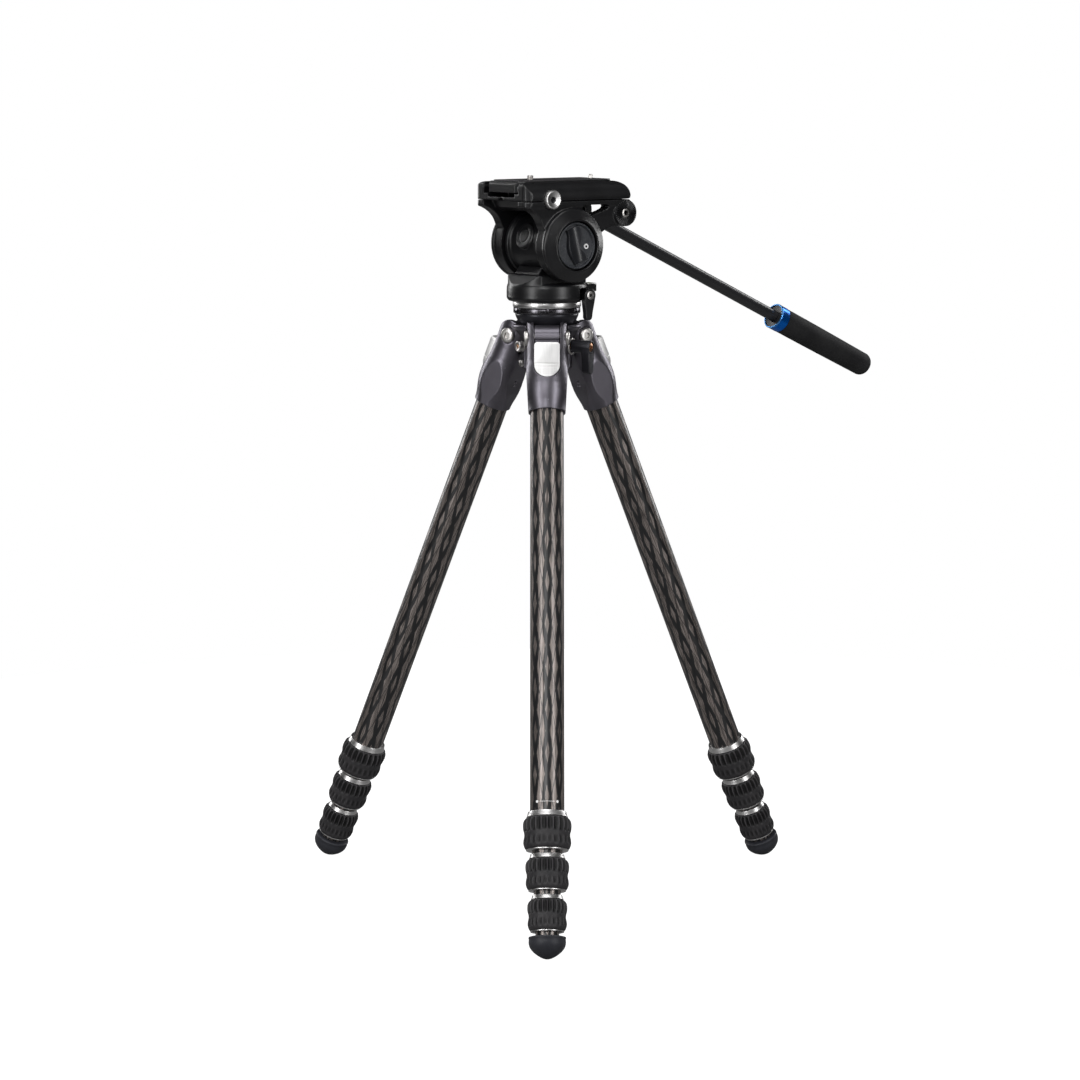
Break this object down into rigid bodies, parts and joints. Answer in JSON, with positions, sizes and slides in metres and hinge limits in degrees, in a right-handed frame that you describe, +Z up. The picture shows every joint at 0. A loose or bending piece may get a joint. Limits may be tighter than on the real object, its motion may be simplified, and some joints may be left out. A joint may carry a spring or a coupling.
{
  "type": "video tripod",
  "caption": "Carbon-fibre video tripod with telescoping legs on a spider, a levelling half-ball, and a fluid pan and tilt head with a sliding camera plate and a pan handle.",
  "frame": {"origin": "centre of the whole object's outline on the floor, at floor height", "axes": "+Z up; -Y is the way the front leg points; the other two legs point to +X +Y and -X +Y; the camera platform runs along the line 36.5 degrees from +X"},
  "size_m": [0.5881, 0.6009, 0.7076],
  "materials": {
    "gunmetal": "satin dark grey cast aluminium",
    "carbon": "clear-coated carbon-fibre tube with a diamond weave",
    "rubber": "matte dark rubber",
    "silver": "bright satin aluminium",
    "steel": "brushed stainless steel",
    "chrome": "polished",
    "black_metal": "black fine-textured coating",
    "black_plastic": "satin black moulded plastic",
    "blue": "polished blue anodised",
    "foam": "black closed-cell foam, matte",
    "spirit": "clear green spirit level"
  },
  "bodies": {
    "spider": {"spider": "gunmetal", "clamp_bolt": "steel", "accessory_port": "silver"},
    "front_leg": {"front_leg_casting": "gunmetal", "front_leg_pin": "steel", "front_tube_1": "carbon"},
    "front_tab": {"front_angle_tab": "silver"},
    "front_lock_1": {"front_lock_1": "rubber"},
    "front_section_2": {"front_tube_2": "carbon"},
    "front_lock_2": {"front_lock_2": "rubber"},
    "front_section_3": {"front_tube_3": "carbon"},
    "front_lock_3": {"front_lock_3": "rubber"},
    "front_section_4": {"front_tube_4": "carbon", "front_foot": "rubber"},
    "right_leg": {"right_leg_casting": "gunmetal", "right_leg_pin": "steel", "right_tube_1": "carbon"},
    "right_tab": {"right_angle_tab": "silver"},
    "right_lock_1": {"right_lock_1": "rubber"},
    "right_section_2": {"right_tube_2": "carbon"},
    "right_lock_2": {"right_lock_2": "rubber"},
    "right_section_3": {"right_tube_3": "carbon"},
    "right_lock_3": {"right_lock_3": "rubber"},
    "right_section_4": {"right_tube_4": "carbon", "right_foot": "rubber"},
    "left_leg": {"left_leg_casting": "gunmetal", "left_leg_pin": "steel", "left_tube_1": "carbon"},
    "left_tab": {"left_angle_tab": "silver"},
    "left_lock_1": {"left_lock_1": "rubber"},
    "left_section_2": {"left_tube_2": "carbon"},
    "left_lock_2": {"left_lock_2": "rubber"},
    "left_section_3": {"left_tube_3": "carbon"},
    "left_lock_3": {"left_lock_3": "rubber"},
    "left_section_4": {"left_tube_4": "carbon", "left_foot": "rubber"},
    "clamp_lever": {"clamp_lever": "gunmetal"},
    "level_shoe": {"clamp_shoe": "black_plastic"},
    "level": {"level_ball": "gunmetal", "level_disc": "silver", "pan_axle": "steel"},
    "pan": {"pan_housing": "black_metal", "tilt_drum": "black_metal", "bubble_level": "spirit"},
    "pan_lock": {"pan_lock_lever": "black_plastic"},
    "tilt": {"cradle": "black_metal", "receiver": "black_metal"},
    "drag_knob": {"tilt_drag_knob": "black_plastic"},
    "tilt_lock": {"tilt_lock_lever": "black_plastic"},
    "button": {"safety_button": "chrome"},
    "plate_screw": {"plate_lock": "black_plastic"},
    "plate": {"camera_plate": "black_metal", "plate_pad": "rubber", "index_pin": "steel"},
    "camera_screw": {"camera_screw": "steel"},
    "handle": {"handle_clamp": "black_metal", "handle_rod": "black_metal", "grip_ring": "blue", "handle_grip": "foam"},
    "handle_knob": {"handle_knob": "black_plastic"}
  },
  "joints": [
    {"name": "front_leg_spread", "type": "hinge", "parent": "spider", "child": "front_leg", "pos_m": [-0.0536, -0.0583, 0.5525], "axis": [-1, 0, 0], "range_deg": [-20, 57]},
    {"name": "front_tab_pull", "type": "slide", "parent": "front_leg", "child": "front_tab", "axis": [0, -0.9219, 0.3875], "range_m": [0, 0.006], "stiffness_N_per_m": 300, "springref_m": -0.002},
    {"name": "front_lock_1_turn", "type": "hinge", "parent": "front_leg", "child": "front_lock_1", "pos_m": [-0.0536, -0.0583, 0.5525], "axis": [0, -0.3875, -0.9219], "range_deg": [0, 90]},
    {"name": "front_section_2_slide", "type": "slide", "parent": "front_leg", "child": "front_section_2", "axis": [0, -0.3875, -0.9219], "range_m": [0, 0.33]},
    {"name": "front_lock_2_turn", "type": "hinge", "parent": "front_section_2", "child": "front_lock_2", "pos_m": [-0.0536, -0.0583, 0.5525], "axis": [0, -0.3875, -0.9219], "range_deg": [0, 90]},
    {"name": "front_section_3_slide", "type": "slide", "parent": "front_section_2", "child": "front_section_3", "axis": [0, -0.3875, -0.9219], "range_m": [0, 0.34]},
    {"name": "front_lock_3_turn", "type": "hinge", "parent": "front_section_3", "child": "front_lock_3", "pos_m": [-0.0536, -0.0583, 0.5525], "axis": [0, -0.3875, -0.9219], "range_deg": [0, 90]},
    {"name": "front_section_4_slide", "type": "slide", "parent": "front_section_3", "child": "front_section_4", "axis": [0, -0.3875, -0.9219], "range_m": [0, 0.35]},
    {"name": "right_leg_spread", "type": "hinge", "parent": "spider", "child": "right_leg", "pos_m": [-0.02519, -0.0091, 0.5525], "axis": [0.5, -0.866, 0], "range_deg": [-20, 57]},
    {"name": "right_tab_pull", "type": "slide", "parent": "right_leg", "child": "right_tab", "axis": [0.7984, 0.4609, 0.3875], "range_m": [0, 0.006], "stiffness_N_per_m": 300, "springref_m": -0.002},
    {"name": "right_lock_1_turn", "type": "hinge", "parent": "right_leg", "child": "right_lock_1", "pos_m": [-0.02519, -0.0091, 0.5525], "axis": [0.3356, 0.1938, -0.9219], "range_deg": [0, 90]},
    {"name": "right_section_2_slide", "type": "slide", "parent": "right_leg", "child": "right_section_2", "axis": [0.3356, 0.1938, -0.9219], "range_m": [0, 0.33]},
    {"name": "right_lock_2_turn", "type": "hinge", "parent": "right_section_2", "child": "right_lock_2", "pos_m": [-0.02519, -0.0091, 0.5525], "axis": [0.3356, 0.1938, -0.9219], "range_deg": [0, 90]},
    {"name": "right_section_3_slide", "type": "slide", "parent": "right_section_2", "child": "right_section_3", "axis": [0.3356, 0.1938, -0.9219], "range_m": [0, 0.34]},
    {"name": "right_lock_3_turn", "type": "hinge", "parent": "right_section_3", "child": "right_lock_3", "pos_m": [-0.02519, -0.0091, 0.5525], "axis": [0.3356, 0.1938, -0.9219], "range_deg": [0, 90]},
    {"name": "right_section_4_slide", "type": "slide", "parent": "right_section_3", "child": "right_section_4", "axis": [0.3356, 0.1938, -0.9219], "range_m": [0, 0.35]},
    {"name": "left_leg_spread", "type": "hinge", "parent": "spider", "child": "left_leg", "pos_m": [-0.08201, -0.0091, 0.5525], "axis": [0.5, 0.866, 0], "range_deg": [-20, 57]},
    {"name": "left_tab_pull", "type": "slide", "parent": "left_leg", "child": "left_tab", "axis": [-0.7984, 0.4609, 0.3875], "range_m": [0, 0.006], "stiffness_N_per_m": 300, "springref_m": -0.002},
    {"name": "left_lock_1_turn", "type": "hinge", "parent": "left_leg", "child": "left_lock_1", "pos_m": [-0.08201, -0.0091, 0.5525], "axis": [-0.3356, 0.1938, -0.9219], "range_deg": [0, 90]},
    {"name": "left_section_2_slide", "type": "slide", "parent": "left_leg", "child": "left_section_2", "axis": [-0.3356, 0.1938, -0.9219], "range_m": [0, 0.33]},
    {"name": "left_lock_2_turn", "type": "hinge", "parent": "left_section_2", "child": "left_lock_2", "pos_m": [-0.08201, -0.0091, 0.5525], "axis": [-0.3356, 0.1938, -0.9219], "range_deg": [0, 90]},
    {"name": "left_section_3_slide", "type": "slide", "parent": "left_section_2", "child": "left_section_3", "axis": [-0.3356, 0.1938, -0.9219], "range_m": [0, 0.34]},
    {"name": "left_lock_3_turn", "type": "hinge", "parent": "left_section_3", "child": "left_lock_3", "pos_m": [-0.08201, -0.0091, 0.5525], "axis": [-0.3356, 0.1938, -0.9219], "range_deg": [0, 90]},
    {"name": "left_section_4_slide", "type": "slide", "parent": "left_section_3", "child": "left_section_4", "axis": [-0.3356, 0.1938, -0.9219], "range_m": [0, 0.35]},
    {"name": "clamp_lever_turn", "type": "hinge", "parent": "spider", "child": "clamp_lever", "pos_m": [-0.01896, -0.0455, 0.543], "axis": [0.866, -0.5, 0], "range_deg": [-35, 35]},
    {"name": "level_side", "type": "hinge", "parent": "spider", "child": "level_shoe", "pos_m": [-0.0536, -0.0255, 0.583], "axis": [1, 0, 0], "range_deg": [-8, 8]},
    {"name": "level_front", "type": "hinge", "parent": "level_shoe", "child": "level", "pos_m": [-0.0536, -0.0255, 0.583], "axis": [0, 1, 0], "range_deg": [-8, 8]},
    {"name": "pan_turn", "type": "hinge", "parent": "level", "child": "pan", "pos_m": [-0.0536, -0.0255, 0.583], "axis": [0, 0, 1], "continuous": true},
    {"name": "pan_lock_turn", "type": "hinge", "parent": "pan", "child": "pan_lock", "pos_m": [-0.01347, -0.03686, 0.5924], "axis": [0.5948, -0.8039, 0], "range_deg": [0, 60]},
    {"name": "tilt_turn", "type": "hinge", "parent": "pan", "child": "tilt", "pos_m": [-0.0536, -0.0255, 0.6415], "axis": [-0.5948, 0.8039, 0], "range_deg": [-75, 40]},
    {"name": "drag_knob_turn", "type": "hinge", "parent": "tilt", "child": "drag_knob", "pos_m": [-0.02683, -0.06167, 0.6415], "axis": [-0.5948, 0.8039, 0], "range_deg": [0, 270]},
    {"name": "tilt_lock_turn", "type": "hinge", "parent": "tilt", "child": "tilt_lock", "pos_m": [-0.08334, 0.01469, 0.6415], "axis": [-0.5948, 0.8039, 0], "range_deg": [0, 60]},
    {"name": "button_press", "type": "slide", "parent": "tilt", "child": "button", "axis": [-0.5948, 0.8039, 0], "range_m": [0, 0.0025], "stiffness_N_per_m": 200, "springref_m": -0.002},
    {"name": "plate_screw_turn", "type": "hinge", "parent": "tilt", "child": "plate_screw", "pos_m": [-0.06429, 0.02257, 0.692], "axis": [-0.5948, 0.8039, 0], "range_deg": [0, 90]},
    {"name": "plate_slide", "type": "slide", "parent": "tilt", "child": "plate", "axis": [0.8039, 0.5948, 0], "range_m": [-0.03, 0.03]},
    {"name": "camera_screw_turn", "type": "hinge", "parent": "plate", "child": "camera_screw", "pos_m": [-0.06968, -0.0374, 0.6995], "axis": [0, 0, 1], "continuous": true},
    {"name": "handle_angle", "type": "hinge", "parent": "tilt", "child": "handle", "pos_m": [-0.03189, 0.05276, 0.671], "axis": [-0.5948, 0.8039, 0], "range_deg": [-60, 20]},
    {"name": "handle_knob_turn", "type": "hinge", "parent": "handle", "child": "handle_knob", "pos_m": [-0.04379, 0.06884, 0.671], "axis": [-0.5948, 0.8039, 0], "range_deg": [0, 180]}
  ]
}
